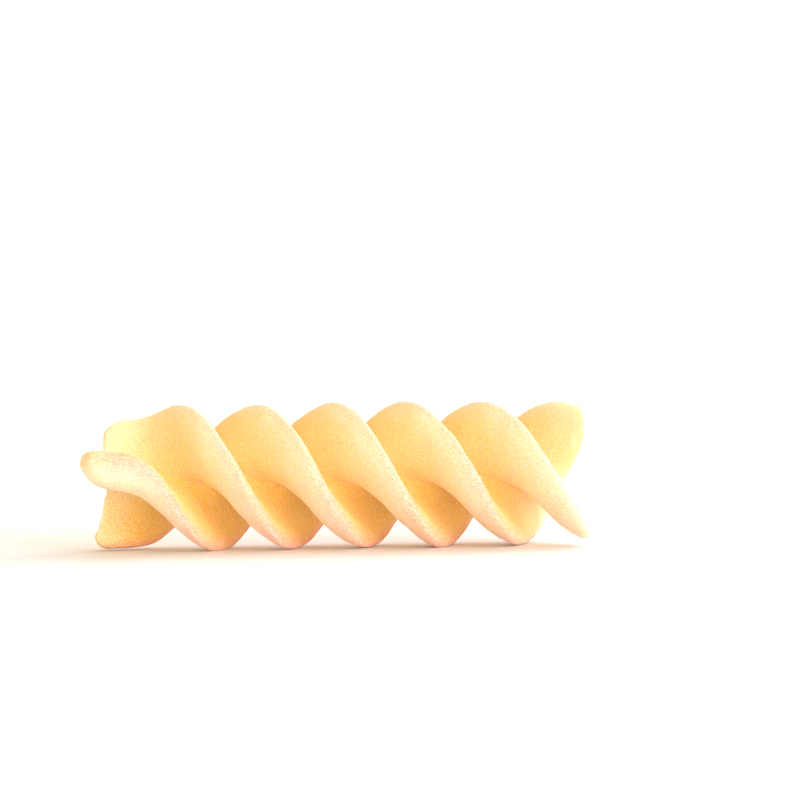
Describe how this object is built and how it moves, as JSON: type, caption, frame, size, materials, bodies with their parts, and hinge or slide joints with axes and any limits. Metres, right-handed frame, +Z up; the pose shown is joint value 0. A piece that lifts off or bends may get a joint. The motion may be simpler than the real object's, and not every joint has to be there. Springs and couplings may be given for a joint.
{
  "type": "fusillo pasta piece",
  "caption": "Dry spiral pasta piece: a pinwheel section of curled arms twisted along its length, with dished cut ends, lying on its rims.",
  "frame": {"origin": "under the middle of the piece, at the height of the flat spots that it lies on", "axes": "+X along the spiral's axis from the slim untwisted end to the other end, +Y away from the viewer, +Z up"},
  "size_m": [0.0362, 0.0106, 0.0104],
  "materials": {
    "dry_pasta": "matte, fine sandy semolina grain, slightly translucent, paler on rims and deeper orange in the grooves"
  },
  "bodies": {
    "root": {"fusillo": "dry_pasta"}
  },
  "joints": []
}
